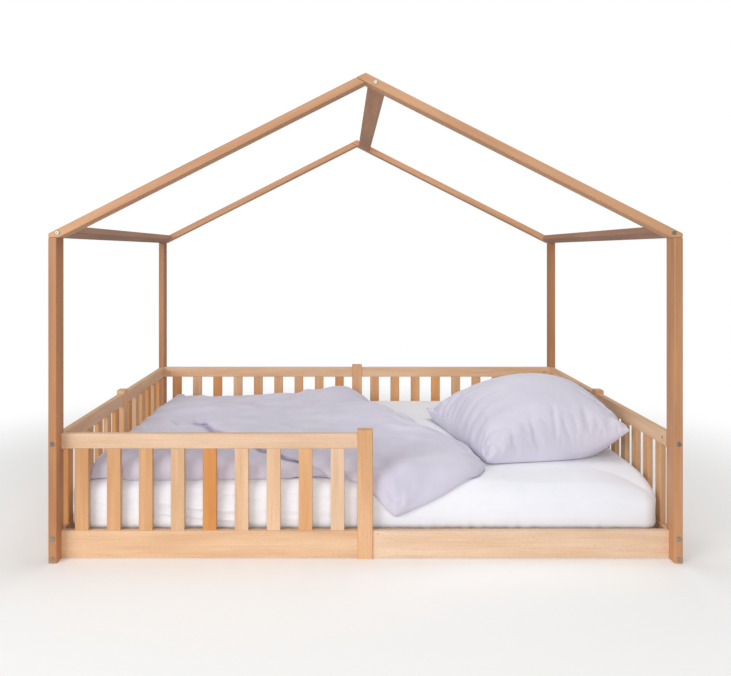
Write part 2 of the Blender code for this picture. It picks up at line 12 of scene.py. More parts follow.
import bmesh
import bpy
import numpy as np
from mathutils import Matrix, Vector


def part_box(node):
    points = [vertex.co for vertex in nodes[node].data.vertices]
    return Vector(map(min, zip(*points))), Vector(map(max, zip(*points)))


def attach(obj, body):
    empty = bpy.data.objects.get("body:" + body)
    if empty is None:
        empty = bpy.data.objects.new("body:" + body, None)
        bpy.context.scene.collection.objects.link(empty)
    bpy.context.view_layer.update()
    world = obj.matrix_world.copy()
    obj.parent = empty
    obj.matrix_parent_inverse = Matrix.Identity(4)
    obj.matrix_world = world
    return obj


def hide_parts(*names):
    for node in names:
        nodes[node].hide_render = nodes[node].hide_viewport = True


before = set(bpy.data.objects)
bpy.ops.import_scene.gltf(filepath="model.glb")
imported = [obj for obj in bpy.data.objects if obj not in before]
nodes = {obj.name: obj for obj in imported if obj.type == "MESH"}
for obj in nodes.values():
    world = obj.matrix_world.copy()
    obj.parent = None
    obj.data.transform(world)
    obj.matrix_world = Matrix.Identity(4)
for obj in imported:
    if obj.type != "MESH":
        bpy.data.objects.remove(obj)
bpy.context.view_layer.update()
print("pieces from the CAD model:", len(nodes))

# %% [markdown]
# ## Camera, light and floor
#
# A product view is taken level, from about the height of a sitting adult, so that upright
# posts stay upright. The lens is then shifted instead of tilted. Most of the light comes
# from a large softbox at the left, the rest from one in front, a weak one overhead and the
# white walls of the studio.

# %% Set up the camera
camera = bpy.data.objects.new("camera", bpy.data.cameras.new("camera"))
bpy.context.scene.collection.objects.link(camera)
bpy.context.scene.camera = camera
camera.location = (-0.0745, -3.241, 1.021)
camera.rotation_euler = (math.radians(90), 0, 0)
camera.data.sensor_width = 36.0
camera.data.lens = 37.1
camera.data.shift_x, camera.data.shift_y = 0.031, -0.118
camera.data.clip_end = 60
print("camera", tuple(round(c, 3) for c in camera.location), "lens", camera.data.lens, "mm")


# %% Hang the softboxes
def softbox(name, place, aim, size, power):
    """A rectangular area light at `place` that faces the point `aim`."""
    light = bpy.data.lights.new(name, "AREA")
    light.shape = "RECTANGLE"
    light.size, light.size_y = size
    light.energy = power
    lamp = bpy.data.objects.new(name, light)
    lamp.location = place
    toward = Vector(aim) - lamp.location
    lamp.rotation_euler = toward.to_track_quat("-Z", "Y").to_euler()
    bpy.context.scene.collection.objects.link(lamp)


softbox("overhead_softbox", (0.8, 0.3, 3.1), (0.45, 0.1, 0.3), (2.6, 2.4), 40)
softbox("key_softbox", (-3.5, -4.1, 2.1), (0, 0, 0.4), (2.8, 2.2), 124)
softbox("front_softbox", (0.3, -5.6, 1.7), (0.2, 0, 0.4), (2.4, 2.0), 70)

world = bpy.data.worlds.new("studio_walls")
bpy.context.scene.world = world
world.use_nodes = True
wall_tree = world.node_tree
wall_tree.nodes["Background"].inputs["Strength"].default_value = 0.33
seen = wall_tree.nodes.new("ShaderNodeBackground")
rays = wall_tree.nodes.new("ShaderNodeLightPath")
either = wall_tree.nodes.new("ShaderNodeMixShader")
for background in (wall_tree.nodes["Background"], seen):
    background.inputs["Color"].default_value = (1, 1, 1, 1)
wall_tree.links.new(rays.outputs["Is Camera Ray"], either.inputs[0])
wall_tree.links.new(wall_tree.nodes["Background"].outputs[0], either.inputs[1])
wall_tree.links.new(seen.outputs[0], either.inputs[2])
wall_tree.links.new(either.outputs[0], wall_tree.nodes["World Output"].inputs["Surface"])
bpy.context.scene.view_settings.view_transform = "Standard"


# %% [markdown]
# ## Tools for materials
#
# Every finish below is a small network of nodes. One helper adds a node, sets it and links
# it. A few short ones on top of it do what comes up most: sums, ramps, mixed tones, noise.

# %% Colour and node helpers
def linear(code, alpha=1.0):
    """sRGB hex code to linear RGBA: c / 12.92 below 0.04045, else ((c + 0.055) / 1.055)^2.4."""
    parts = [int(code[i:i + 2], 16) / 255 for i in (0, 2, 4)]
    return [c / 12.92 if c < 0.04045 else ((c + 0.055) / 1.055) ** 2.4 for c in parts] + [alpha]


def add_node(tree, kind, inputs=None, **settings):
    """Add a node; `inputs` gives each socket a value or another node's output."""
    node = tree.nodes.new(kind)
    for key, value in settings.items():
        setattr(node, key, value)
    for key, value in (inputs or {}).items():
        if isinstance(value, bpy.types.NodeSocket):
            tree.links.new(value, node.inputs[key])
        else:
            node.inputs[key].default_value = value
    return node


def worked_out(tree, operation, *terms, clamp=False):
    """The number that a Math node makes of its terms."""
    return add_node(tree, "ShaderNodeMath", dict(enumerate(terms)), operation=operation,
                    use_clamp=clamp).outputs[0]


def vector_of(tree, operation, *terms):
    """The vector that a Vector Math node makes of its terms."""
    return add_node(tree, "ShaderNodeVectorMath", dict(enumerate(terms)),
                    operation=operation).outputs[0]


def length_of(tree, vector):
    """The length of a vector."""
    return add_node(tree, "ShaderNodeVectorMath", {0: vector}, operation="LENGTH").outputs[1]


def ramp(tree, value, low, high, start=0.0, stop=1.0, curve="LINEAR"):
    """`value` carried from low..high to start..stop, and held at the ends."""
    return add_node(tree, "ShaderNodeMapRange",
                    {"Value": value, "From Min": low, "From Max": high, "To Min": start,
                     "To Max": stop}, interpolation_type=curve).outputs[0]


def mixed(tree, share, first, second):
    """A colour between `first`, at share 0, and `second`, at share 1."""
    return add_node(tree, "ShaderNodeMix", {0: share, 6: first, 7: second},
                    data_type="RGBA").outputs[2]


def noise(tree, place, scale, detail, **inputs):
    """The outputs of a noise texture."""
    return add_node(tree, "ShaderNodeTexNoise",
                    {"Vector": place, "Scale": scale, "Detail": detail, **inputs}).outputs


def placed(tree, place, turn, move):
    """`place` turned and then moved."""
    return add_node(tree, "ShaderNodeMapping",
                    {"Vector": place, "Rotation": turn, "Location": move}).outputs[0]


def own_place(tree):
    """Where a point is in the piece's own frame."""
    return add_node(tree, "ShaderNodeTexCoord").outputs["Object"]


def new_material(name, roughness, **sockets):
    """A material with its shader, and the constants set on the shader's own sockets."""
    material = bpy.data.materials.new(name)
    material.use_nodes = True
    shader = material.node_tree.nodes["Principled BSDF"]
    shader.inputs["Roughness"].default_value = roughness
    for key, value in sockets.items():
        shader.inputs[key.replace("_", " ")].default_value = value
    return material, material.node_tree, shader


def paint(piece, material):
    """Give a CAD piece one material."""
    nodes[piece].data.materials.clear()
    nodes[piece].data.materials.append(material)


# %% [markdown]
# ## Beech, oiled
#
# Beech is a pale pinkish wood. A board shows three things: growth rings, which are circles
# round the pith of the log and come out on a flat face as long stripes or arches; fibres,
# which make fine streaks along the board; and short dark flecks, the rays, about 2 mm long.
# Oil leaves it satin. Rings 3 mm apart are too fine for a view of the whole bed, so they
# are drawn 7 mm apart with a wider drift of tone over them.

# %% The beech finish
PITCH = math.radians(26.9)
GRAIN = {"x": (0, 0, 0), "y": (0, 0, -math.pi / 2), "z": (0, math.pi / 2, 0),
         "left_slope": (0, PITCH, 0), "right_slope": (0, -PITCH, 0)}
RING_WIDTH = 0.007
WAVE_SCALE = math.tau / 20  # a wave texture repeats every WAVE_SCALE / its own scale


def turned(point, angles):
    """Turn a point about Y and then Z, as a Mapping node does with those angles."""
    x, y, z = point
    _, b, c = angles
    x, z = x * math.cos(b) + z * math.sin(b), -x * math.sin(b) + z * math.cos(b)
    return x * math.cos(c) - y * math.sin(c), x * math.sin(c) + y * math.cos(c), z


def chance(seed):
    """Three numbers from -1 to 1 that belong to a seed."""
    return np.random.default_rng(seed).uniform(-1, 1, 3)


def beech_colour(tree, run, pale, deep):
    """Colour and fibre height of beech at `run`, a place whose X axis follows the grain.

    The ring stripe is sin(distance from the X axis / ring width), bent by slow noise. `pale`
    and `deep` are its two tones, each a linear colour or another node's output.
    """
    slow = vector_of(tree, "MULTIPLY", run, (0.09, 1, 1))
    rings = add_node(tree, "ShaderNodeTexWave",
                     {"Vector": slow, "Scale": WAVE_SCALE / RING_WIDTH, "Distortion": 9.0,
                      "Detail": 2.0, "Detail Scale": 0.28, "Detail Roughness": 0.55},
                     wave_type="RINGS", rings_direction="X").outputs["Fac"]
    drift = noise(tree, slow, 26.0, 3.0)["Fac"]
    fibres = noise(tree, vector_of(tree, "MULTIPLY", run, (7, 420, 420)), 1.0, 3.0)["Fac"]
    rays = noise(tree, vector_of(tree, "MULTIPLY", run, (260, 1300, 1300)), 1.0, 0.0)["Fac"]
    ring_part = worked_out(tree, "MULTIPLY_ADD", rings, 0.15, -0.075)
    tone = worked_out(tree, "ADD", ramp(tree, drift, 0.33, 0.68), ring_part, clamp=True)
    streak = ramp(tree, fibres, 0.3, 0.7, 0.93, 1.05)
    wood = add_node(tree, "ShaderNodeVectorMath", {0: mixed(tree, tone, pale, deep),
                    "Scale": streak}, operation="SCALE").outputs[0]
    wood = mixed(tree, ramp(tree, rays, 0.66, 0.74, 0.0, 0.3), wood, linear("8A5A38"))
    return wood, fibres


def finish_beech(tree, shader, wood, fibres):
    """Lead the colour to the shader, with satin gloss that varies a little and fine relief."""
    tree.links.new(wood, shader.inputs["Base Color"])
    tree.links.new(ramp(tree, fibres, 0.3, 0.7, 0.40, 0.54), shader.inputs["Roughness"])
    relief = add_node(tree, "ShaderNodeBump", {"Height": fibres, "Strength": 0.25,
                      "Distance": 0.0004}).outputs[0]
    tree.links.new(relief, shader.inputs["Normal"])


def beech(piece, grain, pale, deep, seed, knots=()):
    """Give a CAD piece its own beech, cut from another place in the log."""
    material, tree, shader = new_material(f"beech_oiled_{piece}", 0.46)
    low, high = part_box(piece)
    centre = turned((low + high) / 2, GRAIN[grain])
    along, away, up = chance(seed)
    pith = (2 * along, 0.045 + 0.04 * abs(away), 0.06 * up)
    place = own_place(tree)
    run = placed(tree, place, GRAIN[grain], [p - c for p, c in zip(pith, centre)])
    wood, fibres = beech_colour(tree, run, linear(pale), linear(deep))
    for spot, size in knots:
        offset = vector_of(tree, "DIVIDE", vector_of(tree, "SUBTRACT", place, spot), size)
        dark = ramp(tree, length_of(tree, offset), 0.4, 1.0, 0.75, 0.0)
        wood = mixed(tree, dark, wood, linear("6E4022"))
    finish_beech(tree, shader, wood, fibres)
    paint(piece, material)


# %% [markdown]
# ### Which tone goes where
#
# No two boards have one colour. The rails and lower boards are the palest and pinkest, the
# posts are deeper, and the slats of the fence run from straw to one orange one. Two tones
# carry painted light: the front right post is lighter, which is painted light for its lit
# inner side, and the eave purlins are darker, which is painted shade for their undersides.

# %% Posts, rafters, purlins, rails and boards
PEACH, DEEP = ("E9C49E", "DBAE86"), ("C48A5E", "B27A50")
HONEY, STRAW, ORANGE = ("DFAC7C", "CC9767"), ("E2BA94", "D2A478"), ("DD9B58", "CD8640")
ROSE, PALEST, ROOF = ("E9C7A8", "DCB592"), ("EED0B3", "E0BA98"), ("D9A57A", "C68F67")
made = 0
for row in ("front", "back"):
    for hand in ("left", "right"):
        # The front right post gets a lighter copy of the post tone: painted light for the light
        # that falls on its inner side.
        tones = ("D29A6C", "C08A60") if (row, hand) == ("front", "right") else DEEP
        beech(f"{row}_{hand}_post", "z", *tones, seed=10 + made)
        beech(f"{row}_{hand}_rafter", f"{hand}_slope", *ROOF, seed=30 + made)
        beech(f"{row}_{hand}_ledge", "x", *STRAW, seed=40 + made)
        made += 1
for seed, piece in enumerate(("left_eave_purlin", "right_eave_purlin", "ridge_purlin")):
    # The eave purlins get a darker tone than the ridge purlin: painted shade for their undersides,
    # which face down and away from the light.
    tones = ("C99670", "B68260") if piece == "ridge_purlin" else ("AE8066", "9C7058")
    beech(piece, "y", *tones, seed=50 + seed)
for seed, piece in enumerate(("front", "back", "left", "right")):
    beech(f"{piece}_centre_post", "z", "E7B88C", "D8A473", seed=60 + seed)
beech("centre_beam", "x", *STRAW, seed=70)
board_low, board_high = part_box("front_right_board")
knot = (board_low.x + 0.016, board_low.y, board_high.z - 0.011)
beech("front_top_rail", "x", *ROSE, seed=73)
beech("front_left_board", "x", *PEACH, seed=74)
beech("front_right_board", "x", *PALEST, seed=77, knots=[(knot, (0.005, 0.02, 0.002))])
SLAT_TONES = (HONEY, HONEY, HONEY, STRAW, ORANGE, PEACH, PEACH, ("E9B887", "DAA26C"), PALEST)
for number, tone in enumerate(SLAT_TONES, 1):
    beech(f"front_slat_{number}", "z", *tone, seed=80 + number)
print("beech pieces finished one by one:",
      sum(material.name.startswith("beech") for material in bpy.data.materials))

# %% [markdown]
# ### The glued halves of the fence
#
# Each of these is one solid: a rail and a board lie along it, and slats stand between them.
# The grain has to turn at the slats. Height tells the two apart, and a slat's number, worked
# out from its place along the rail, gives each slat its own tone.

# %% Beech for a fence half
SLATS, END_GAP, SLAT_WIDE, TENON = {"x": 9, "y": 6}, {"x": 0.0437, "y": 0.0490}, 0.0455, 0.0098


def fence_beech(piece, axis, seed):
    """Beech for a fence half along `axis`, with upright grain between board and rail."""
    material, tree, shader = new_material(f"beech_oiled_{piece}", 0.46)
    low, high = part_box(piece)
    run_axis = "xy".index(axis)
    first = low[run_axis] + END_GAP[axis] + SLAT_WIDE / 2
    step = (low[run_axis] + high[run_axis] - 2 * first) / (SLATS[axis] - 1)
    place = own_place(tree)
    parts = add_node(tree, "ShaderNodeSeparateXYZ", {0: place}).outputs
    number = worked_out(tree, "MULTIPLY_ADD", parts[run_axis], 1 / step, 0.5 - first / step)
    number = worked_out(tree, "ADD", worked_out(tree, "FLOOR", number), seed * 17.0)
    pick = add_node(tree, "ShaderNodeTexWhiteNoise", {"W": number}, noise_dimensions="1D")
    slat_low, slat_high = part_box("front_slat_1")
    above = worked_out(tree, "GREATER_THAN", parts[2], slat_low.z + TENON)
    below = worked_out(tree, "LESS_THAN", parts[2], slat_high.z - TENON)
    upright = worked_out(tree, "MULTIPLY", above, below)
    centre = turned((low + high) / 2, GRAIN[axis])
    pith = (2 * chance(seed)[0], 0.06, 0.03)
    lying = placed(tree, place, GRAIN[axis], [p - c for p, c in zip(pith, centre)])
    jump = vector_of(tree, "MULTIPLY", pick.outputs["Color"], (3, 0.13, 0.13))
    standing = placed(tree, place, GRAIN["z"], jump)
    run = add_node(tree, "ShaderNodeMix", {0: upright, 4: lying, 5: standing},
                   data_type="VECTOR").outputs[1]
    tones = []
    for rail, straw, orange in zip(PEACH, STRAW, ORANGE):
        slat = mixed(tree, pick.outputs["Value"], linear(straw), linear(orange))
        tones.append(mixed(tree, upright, linear(rail), slat))
    wood, fibres = beech_colour(tree, run, *tones)
    finish_beech(tree, shader, wood, fibres)
    paint(piece, material)


for seed, piece in enumerate(("back_left_fence", "back_right_fence")):
    fence_beech(piece, "x", seed + 1)
for seed, piece in enumerate(("left_front_fence", "left_back_fence", "right_front_fence",
                              "right_back_fence")):
    fence_beech(piece, "y", seed + 5)
print("fence halves finished: 6")

# %% [markdown]
# ## Hardware
#
# Furniture bolts with a flat head pull the posts against the side fences. Each screws into
# a barrel nut, a short steel cylinder that sits crosswise in the rail, and its slotted end
# shows on the inside. A second set of bolts comes through the posts from the sides, into
# the front and back fences.

# %% Zinc-plated steel
steel, tree, shader = new_material("steel_zinc_plated_dark", 0.34, Metallic=1.0)
cloud = noise(tree, own_place(tree), 260.0, 2.0)["Fac"]
tint = mixed(tree, cloud, linear("8C877F"), linear("BDB8AE"))
tree.links.new(tint, shader.inputs["Base Color"])
bolts = [name for name in nodes if name.endswith("_bolt")]
for name in bolts:
    paint(name, steel)
print("bolts in zinc:", len(bolts))


# %% Surfaces from grids of points
def make_piece(name, points, faces, material, body):
    """A smooth mesh from an array of points and an array of four-cornered faces."""
    mesh = bpy.data.meshes.new(name)
    mesh.from_pydata(np.asarray(points, float).tolist(), [], np.asarray(faces).tolist())
    mesh.validate()
    mesh.shade_smooth()
    mesh.materials.append(material)
    piece = bpy.data.objects.new(name, mesh)
    bpy.context.scene.collection.objects.link(piece)
    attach(piece, body)
    return piece


def grid_faces(index, wrap=False):
    """Faces between neighbouring rows and columns of a grid of point numbers."""
    if wrap:
        index = np.concatenate([index, index[:, :1]], axis=1)
    corners = index[:-1, :-1], index[1:, :-1], index[1:, 1:], index[:-1, 1:]
    return np.stack([c.ravel() for c in corners], axis=1)


def weld(piece):
    """Join points that lie in one place, which closes the middle of a piece."""
    sewn = bmesh.new()
    sewn.from_mesh(piece.data)
    bmesh.ops.remove_doubles(sewn, verts=sewn.verts, dist=2e-5)
    sewn.to_mesh(piece.data)
    sewn.free()


def turned_shape(profile, centre, axis, sides=24):
    """Points and faces of a profile of (radius, height) pairs turned about an axis.

    point = centre + height * axis + radius * (cos a * side + sin a * other side)
    """
    axis = np.array(axis, float)
    side = np.roll(axis, 1)
    other = np.cross(axis, side)
    angle = np.arange(sides) * math.tau / sides
    radius, height = (np.array(c)[:, None, None] for c in zip(*profile))
    circle = np.cos(angle)[:, None] * side + np.sin(angle)[:, None] * other
    points = np.array(centre) + height * axis + radius * circle
    index = np.arange(points.shape[0] * sides).reshape(-1, sides)
    return points.reshape(-1, 3), grid_faces(index, wrap=True)[:, ::-1]


# %% Barrel nuts and side bolts
HEAD_HIGH = 0.0022
NUT_INSET = 0.032   # from the end of the rail, or the edge of the post, to the nut
LOW_FENCE = 0.2     # the way in has no rail, so only bolts lower than this
nut_profile = [(0.0, -0.006), (0.0048, -0.006), (0.005, -0.0055), (0.005, 0.0002),
               (0.0044, 0.0006), (0.0016, 0.0006), (0.0014, -0.0008), (0.0, -0.0008)]
head_profile = [(0.0, 0.0), (0.00775, 0.0), (0.00775, 0.0013), (0.00675, HEAD_HIGH),
                (0.0022, HEAD_HIGH), (0.0020, 0.0006), (0.0, 0.0006)]


def turned_pieces(name, profile, places, sides):
    """One object for a small turned part that repeats at (place, axis) pairs."""
    points, faces, count = [], [], 0
    for centre, axis in places:
        some, corners = turned_shape(profile, centre, axis, sides)
        points.append(some)
        faces.append(corners + count)
        count += len(some)
    piece = make_piece(name, np.concatenate(points), np.concatenate(faces), steel, "frame")
    weld(piece)
    piece.data.set_sharp_from_angle(angle=math.radians(40))
    print(name, "-", len(places), "of them")


post_low, post_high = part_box("front_right_post")
inner_x, inner_y, outer_x = post_low.x, -post_high.y, post_high.x
fence_y = -(board_low.y + board_high.y) / 2
bolt_z = []
for which in ("rail", "board_upper", "board_lower"):
    low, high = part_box(f"front_left_{which}_bolt")
    bolt_z.append((low.z + high.z) / 2)
every_end = [(side, end, z) for side in (-1, 1) for end in (-1, 1) for z in bolt_z]
fence_end = [(side, end, z) for side, end, z in every_end
             if (side, end) != (1, -1) or z < LOW_FENCE]
turned_pieces("barrel_nuts", nut_profile,
              [((side * inner_x, end * (inner_y - NUT_INSET), z), (-side, 0, 0))
               for side, end, z in every_end]
              + [((side * (inner_x - NUT_INSET), end * inner_y, z), (0, -end, 0))
                 for side, end, z in fence_end], 16)
turned_pieces("side_bolt_heads", head_profile,
              [((side * outer_x, end * fence_y, z), (side, 0, 0))
               for side, end, z in fence_end], 24)

# %% [markdown]
# ## Cotton
#
# Sheet, duvet cover and pillowcase are plain-woven cotton. The threads are about 0.4 mm
# apart, too fine to see here, so the weave is drawn at 1.6 mm. Washed cotton also keeps a
# crumple, a net of small creases a few centimetres across, and has a soft sheen at glancing
# angles because of its loose fibre ends.

# %% The cotton finish
THREAD = 0.0016


def cotton(name, light, shade, crumple, sheen):
    """Plain-woven cotton: two tones, crossed threads, and creases `crumple` metres deep."""
    material, tree, shader = new_material(name, 0.86, Sheen_Weight=sheen, Sheen_Roughness=0.45)
    place = own_place(tree)
    cloud = noise(tree, place, 5.0, 4.0, Roughness=0.6)["Fac"]
    colour = mixed(tree, ramp(tree, cloud, 0.35, 0.65), linear(light), linear(shade))
    tree.links.new(colour, shader.inputs["Base Color"])
    threads = [add_node(tree, "ShaderNodeTexWave",
                        {"Vector": place, "Scale": WAVE_SCALE / THREAD, "Distortion": 0.6,
                         "Detail Scale": 0.5}, wave_type="BANDS",
                        bands_direction=direction).outputs["Fac"] for direction in "XYZ"]
    weave = worked_out(tree, "ADD", worked_out(tree, "ADD", threads[0], threads[1]), threads[2])
    cloth = add_node(tree, "ShaderNodeBump", {"Height": weave, "Strength": 0.12,
                     "Distance": 0.0003}).outputs[0]
    bent = vector_of(tree, "MULTIPLY_ADD", noise(tree, place, 9.0, 3.0)["Color"],
                     (0.12, 0.12, 0.12), place)
    net = add_node(tree, "ShaderNodeTexNoise", {"Vector": bent, "Scale": 17.0, "Detail": 5.0,
                   "Roughness": 0.52}, noise_type="RIDGED_MULTIFRACTAL").outputs["Fac"]
    creases = add_node(tree, "ShaderNodeBump", {"Height": net, "Strength": 0.5,
                       "Distance": crumple, "Normal": cloth}).outputs[0]
    tree.links.new(creases, shader.inputs["Normal"])
    return material


lilac = cotton("cotton_washed_lilac_grey", "DAD6E6", "CFCBDC", 0.0026, 0.3)
lilac_pillow = cotton("cotton_washed_lilac_grey_pillowcase", "DAD7E6", "D1CEDE", 0.0012, 0.3)
white = cotton("cotton_white_fitted_sheet", "F5F6FB", "EEF0F8", 0.0006, 0.15)
print("cottons:", lilac.name, white.name)

# %% [markdown]
# ## Tools for cloth
#
# Each soft piece starts as a grid of points worked out from a formula. Smooth unevenness is
# a sum of waves with random directions from a fixed seed, so that it comes out the same
# every time. The cloth solver then lets the top of a padded piece swell and buckle: its
# cloth is made a little too large for its outline, and air presses it outwards.

# %% Waves, curves and closed pads
def ripples(x, y, length, seed, lean=0.0, spread=math.pi, count=16):
    """Sum of `count` sine waves about `length` long, in directions within `spread` of `lean`."""
    rng = np.random.default_rng(seed)
    angle = lean + spread * rng.uniform(-0.5, 0.5, count)
    pace = math.tau / length * rng.uniform(0.65, 1.5, count)
    phase = rng.uniform(0, math.tau, count)
    total = np.zeros(np.shape(x))
    for a, k, p in zip(angle, pace, phase):
        total += np.sin(k * (x * math.cos(a) + y * math.sin(a)) + p)
    return total / math.sqrt(count / 2)


def along_points(points, count, passes=6):
    """`count` points at even steps along a polyline, with its bends rounded by averaging."""
    points = np.asarray(points, float)
    way = np.r_[0, np.cumsum(np.linalg.norm(np.diff(points, axis=0), axis=1))]
    steps = np.linspace(0, way[-1], count)
    curve = np.stack([np.interp(steps, way, points[:, k]) for k in range(points.shape[1])], 1)
    for _ in range(passes):
        curve[1:-1] = (curve[:-2] + 2 * curve[1:-1] + curve[2:]) / 4
    return curve


def patch(front, back, left, right):
    """Points inside four edges: (1-v) front + v back + (1-u) left + u right - the corners."""
    u = np.linspace(0, 1, len(front))[:, None, None]
    v = np.linspace(0, 1, len(left))[None, :, None]
    sides = (1 - v) * front[:, None] + v * back[:, None] + (1 - u) * left[None] + u * right[None]
    corners = ((1 - u) * (1 - v) * front[0] + u * (1 - v) * front[-1]
               + (1 - u) * v * back[0] + u * v * back[-1])
    return sides - corners


def closed_pad(top, bottom):
    """Points and faces of two layers that share their border, which points the cloth solver
    holds (the border and the lower layer), and the point numbers of the upper layer."""
    rows, columns = top.shape[:2]
    upper = np.arange(rows * columns).reshape(rows, columns)
    lower = upper.copy()
    inside = (rows - 2) * (columns - 2)
    lower[1:-1, 1:-1] = rows * columns + np.arange(inside).reshape(rows - 2, columns - 2)
    points = np.concatenate([top.reshape(-1, 3), bottom[1:-1, 1:-1].reshape(-1, 3)])
    faces = np.concatenate([grid_faces(upper), grid_faces(lower)[:, ::-1]])
    border = np.ones((rows, columns), bool)
    border[1:-1, 1:-1] = False
    held = np.zeros(len(points), bool)
    held[upper[border]] = True
    held[rows * columns:] = True
    return points, faces, held, upper


def edge_distance(places, outline):
    """Shortest distance in plan from each place to the points of an outline."""
    flat = places.reshape(-1, 2)
    nearest = np.full(len(flat), 1e9)
    for chunk in np.array_split(np.asarray(outline), 12):
        gap = np.linalg.norm(flat[:, None] - chunk[None], axis=2).min(axis=1)
        nearest = np.minimum(nearest, gap)
    return nearest.reshape(places.shape[:2])


# %% The cloth solver
def swell(points, faces, held, pressure, slack, frames, most):
    """Let free points buckle under air pressure, with cloth `slack` larger than the shape.

    No point ends further than `most` metres from where it started; `most` may be one number
    or one for each point.
    """
    mesh = bpy.data.meshes.new("trial")
    mesh.from_pydata(points.tolist(), [], faces.tolist())
    trial = bpy.data.objects.new("trial", mesh)
    bpy.context.scene.collection.objects.link(trial)
    trial.vertex_groups.new(name="held").add(np.flatnonzero(held).tolist(), 1.0, "REPLACE")
    cloth = trial.modifiers.new("cloth", "CLOTH")
    for key, value in {"quality": 5, "mass": 0.25, "tension_stiffness": 12,
                       "compression_stiffness": 12, "shear_stiffness": 4,
                       "bending_stiffness": 0.25, "air_damping": 4, "use_pressure": True,
                       "uniform_pressure_force": pressure, "shrink_min": -slack,
                       "vertex_group_mass": "held"}.items():
        setattr(cloth.settings, key, value)
    cloth.settings.effector_weights.gravity = 0
    cloth.point_cache.frame_end = frames
    scene = bpy.context.scene
    for number in range(1, frames + 1):
        scene.frame_set(number)
    moved = trial.evaluated_get(bpy.context.evaluated_depsgraph_get()).data
    settled = np.empty(len(points) * 3)
    moved.vertices.foreach_get("co", settled)
    shift = settled.reshape(-1, 3) - points
    size = np.linalg.norm(shift, axis=1, keepdims=True)
    shift *= np.minimum(1, np.reshape(most, (-1, 1)) / np.maximum(size, 1e-9))
    bpy.data.objects.remove(trial, do_unlink=True)
    scene.frame_set(1)
    print(f"  cloth moved by {size.mean() * 1000:.1f} mm on average")
    return points + shift


# %% [markdown]
# ## Mattress and fitted sheet
#
# The mattress is a foam block in a quilted cover. Over it goes a fitted sheet with an
# elastic hem: it covers the top and the sides, turns under by 8 cm and is drawn tight, so it
# shows only a few drag lines, and gathers where the elastic pulls it in.

# %% Profile round a rounded block
mat_low, mat_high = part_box("mattress")
mat_top = mat_high.z
HALF_X, HALF_Y = mat_high.x, mat_high.y


def rounded_block(profile, half_x, half_y, corner, count):
    """A profile of (inset, height) pairs carried round a rectangle with round corners.

    At an inset d the rectangle shrinks by d on each side and its corners to max(corner - d, 0).
    The points start at the middle of a side, so that the two halves mirror each other and meet
    where the inset is half the width. Comes with each point's way round the outline.
    """
    inset, height = (np.asarray(c, float)[:, None] for c in zip(*profile))
    straight_x, straight_y = 2 * (half_x - corner), 2 * (half_y - corner)
    bend = corner * math.pi / 2
    lengths = [straight_y, bend, straight_x, bend] * 2
    stops = np.r_[0, np.cumsum(lengths)]
    way = (np.arange(count) / count * stops[-1] + straight_y / 2) % stops[-1]
    piece = np.searchsorted(stops, way, side="right") - 1
    share = (way - stops[piece]) / np.asarray(lengths)[piece]
    quarter = piece // 2
    on_bend = piece % 2 == 1
    heading = quarter * math.pi / 2
    angle = heading + np.where(on_bend, share * math.pi / 2, 0)
    reach = np.maximum(corner, inset)
    round_off = np.maximum(corner - inset, 0)
    corner_x, corner_y = half_x - reach, half_y - reach
    start_x = np.choose(quarter, [corner_x, corner_x, -corner_x, -corner_x])
    start_y = np.choose(quarter, [-corner_y, corner_y, corner_y, -corner_y])
    stop_x = np.choose(quarter, [corner_x, -corner_x, -corner_x, corner_x])
    stop_y = np.choose(quarter, [corner_y, corner_y, -corner_y, -corner_y])
    middle_x = np.where(on_bend, stop_x, start_x + (stop_x - start_x) * share)
    middle_y = np.where(on_bend, stop_y, start_y + (stop_y - start_y) * share)
    x = middle_x + round_off * np.cos(angle)
    y = middle_y + round_off * np.sin(angle)
    z = np.broadcast_to(height, x.shape)
    return np.stack([x, y, z], axis=2), np.broadcast_to(way, x.shape)


def smooth_step(value, low, high):
    """0 below low, 1 above high, and t^2 (3 - 2t) between."""
    t = np.clip((value - low) / (high - low), 0, 1)
    return t * t * (3 - 2 * t)


def sag(points):
    """Lower the corners and the open front edge, where people sit down and get in.

    The height above the underside is multiplied by 1 - depth * nearness^2.2, where the
    nearness is 1 at the corner or edge and 0 at some reach from it.
    """
    x, y, z = np.moveaxis(points, -1, 0)
    open_corner = (x > 0) & (y < 0)
    reach, depth = np.where(open_corner, 0.25, 0.14), np.where(open_corner, 0.28, 0.16)
    near = np.minimum(np.abs(x) - HALF_X, np.abs(y) - HALF_Y) / reach + 1
    share = 1 - depth * np.clip(near, 0, 1) ** 2.2
    edge_reach, edge_depth = 0.12, 0.16
    front = np.clip((-y - HALF_Y) / edge_reach + 1, 0, 1) ** 2 * smooth_step(x, 0.30, 0.62)
    share = share * (1 - edge_depth * front)
    return np.stack([x, y, mat_low.z + (z - mat_low.z) * share], axis=-1)


def arc(centre, radius, start, stop, steps=6):
    """Points of a circular arc in the profile, by angle from start to stop in degrees."""
    angle = np.radians(np.linspace(start, stop, steps))
    return [(centre[0] - radius * math.cos(a), centre[1] + radius * math.sin(a)) for a in angle]


